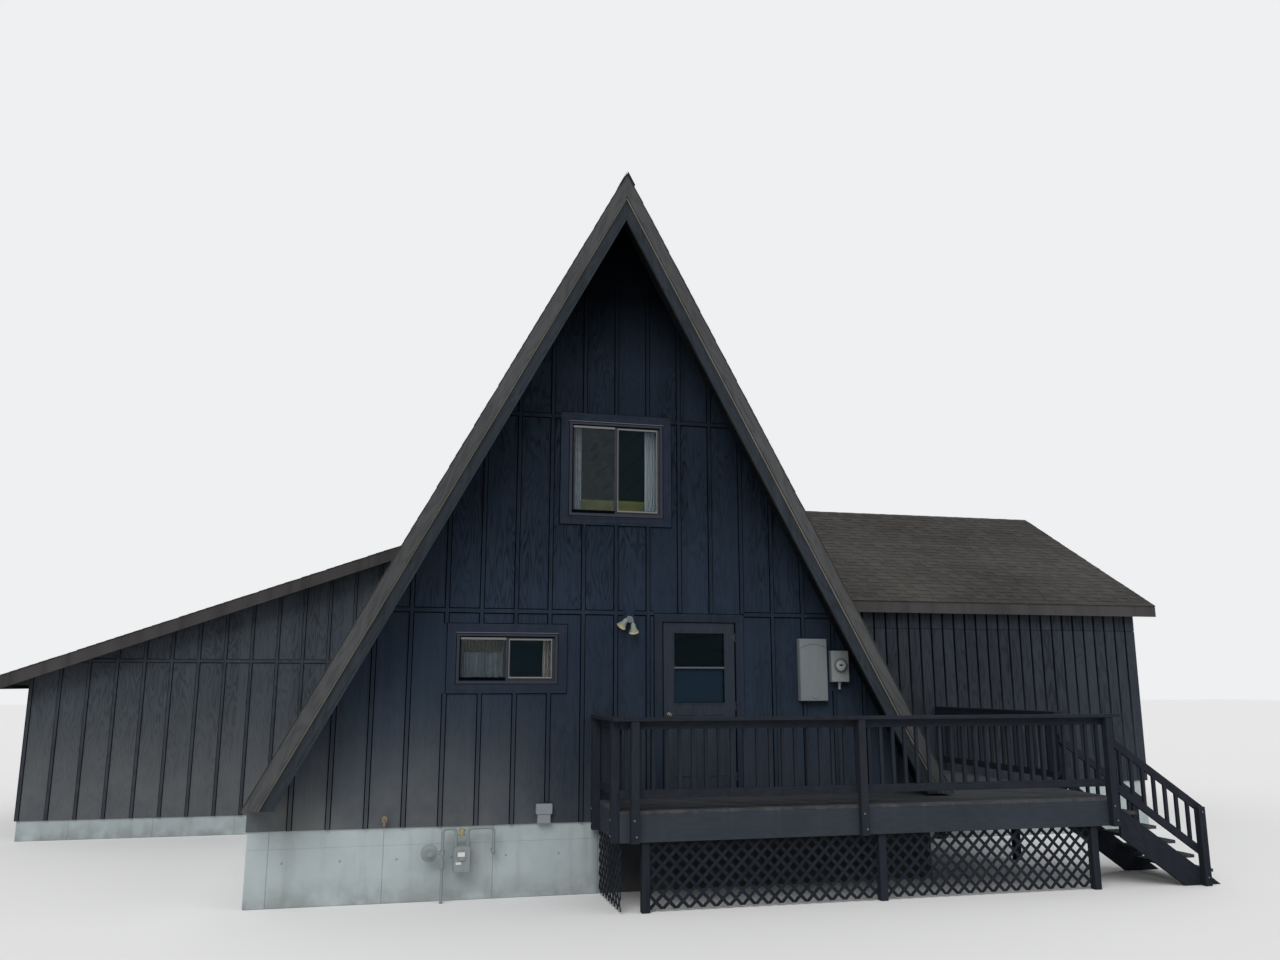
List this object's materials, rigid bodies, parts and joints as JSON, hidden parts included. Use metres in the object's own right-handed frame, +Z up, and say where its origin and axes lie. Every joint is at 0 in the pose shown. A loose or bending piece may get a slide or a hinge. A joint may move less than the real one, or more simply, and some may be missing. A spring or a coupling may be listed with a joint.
{
  "type": "a-frame cabin",
  "caption": "Steep A-frame cabin in dark board-and-batten, with a lean-to wing, a gabled wing, a railed timber deck, a stair and a swinging entry door.",
  "frame": {"origin": "under the middle of the front stem wall, at grade", "axes": "+X to the right along the front, +Y back through the house, +Z up"},
  "size_m": [18.61, 12.831, 8.7837],
  "materials": {
    "stem_wall": "pale trowelled concrete",
    "floor_boards": "sealed timber",
    "charcoal_siding": "dark blue-charcoal stain on rough-sawn boards",
    "shingles": "mineral-faced roof shingles",
    "taupe_boards": "weathered taupe paint",
    "barge_paint": "weathered blue-grey stain",
    "bronze_frame": "baked bronze finish",
    "bronze_sash": "baked bronze finish",
    "window_glass": "clear",
    "door_light": "clear",
    "charcoal_trim": "dark stain on smooth boards",
    "door_paint": "dark satin paint",
    "hinge_steel": "dull",
    "knob_metal": "satin",
    "brown_siding": "brown-grey stain on rough-sawn boards",
    "grooved_siding": "dark grey stain on grooved boards",
    "deck_stain": "charcoal solid stain",
    "deck_boards": "worn charcoal stain",
    "lattice_stain": "dark stain",
    "lamp_gold": "pale gold lacquer",
    "panel_grey": "powder coat",
    "meter_grey": "powder coat",
    "box_grey": "moulded",
    "pipe_grey": "satin grey paint",
    "tap_metal": "weathered"
  },
  "bodies": {
    "root": {"foundation": "stem_wall", "left_wing_slab": "stem_wall", "right_wing_foundation": "stem_wall", "main_floor": "floor_boards", "loft_floor": "floor_boards", "right_wing_floor": "floor_boards", "front_wall_left": "charcoal_siding", "front_wall_right": "charcoal_siding", "front_wall_upper": "charcoal_siding", "back_wall": "charcoal_siding", "roof_left": "shingles", "roof_right": "shingles", "ridge_cap": "shingles", "front_barge_left": "barge_paint", "front_barge_right": "barge_paint", "rake_board_left": "taupe_boards", "rake_board_right": "taupe_boards", "back_barge_left": "barge_paint", "back_barge_right": "barge_paint", "front_window_frames": "bronze_frame", "front_window_sashes": "bronze_sash", "front_window_glass": "window_glass", "window_casings": "charcoal_trim", "other_window_frames": "bronze_frame", "other_window_glass": "window_glass", "door_casing": "charcoal_trim", "door_frame": "charcoal_trim", "door_hinges": "hinge_steel", "left_wing_front_wall": "brown_siding", "left_wing_side_wall": "brown_siding", "wing_back_walls": "brown_siding", "left_wing_roof": "shingles", "left_wing_fascia": "taupe_boards", "right_wing_front_wall": "grooved_siding", "right_wing_end_wall": "grooved_siding", "right_wing_roof_front": "shingles", "right_wing_roof_back": "shingles", "right_wing_fascia": "taupe_boards", "deck_frame": "deck_stain", "deck_floor": "deck_boards", "deck_posts": "deck_stain", "rail_posts": "deck_stain", "front_railing": "deck_stain", "side_railings": "deck_stain", "lattice_skirt": "lattice_stain", "stair_stringers": "deck_stain", "stair_treads": "deck_boards", "stair_railings": "deck_stain", "flood_lamps": "lamp_gold", "electric_panel": "panel_grey", "electric_meter": "meter_grey", "utility_box": "box_grey", "gas_meter": "pipe_grey", "hose_tap": "tap_metal"},
    "door": {"door": "door_paint", "door_glass": "door_light", "door_knob": "knob_metal", "door_knuckles": "hinge_steel"}
  },
  "joints": [
    {"name": "door_hinge", "type": "hinge", "parent": "root", "child": "door", "pos_m": [1.5205, -0.123, 2.1], "axis": [0, 0, 1], "range_deg": [0, 100]}
  ]
}
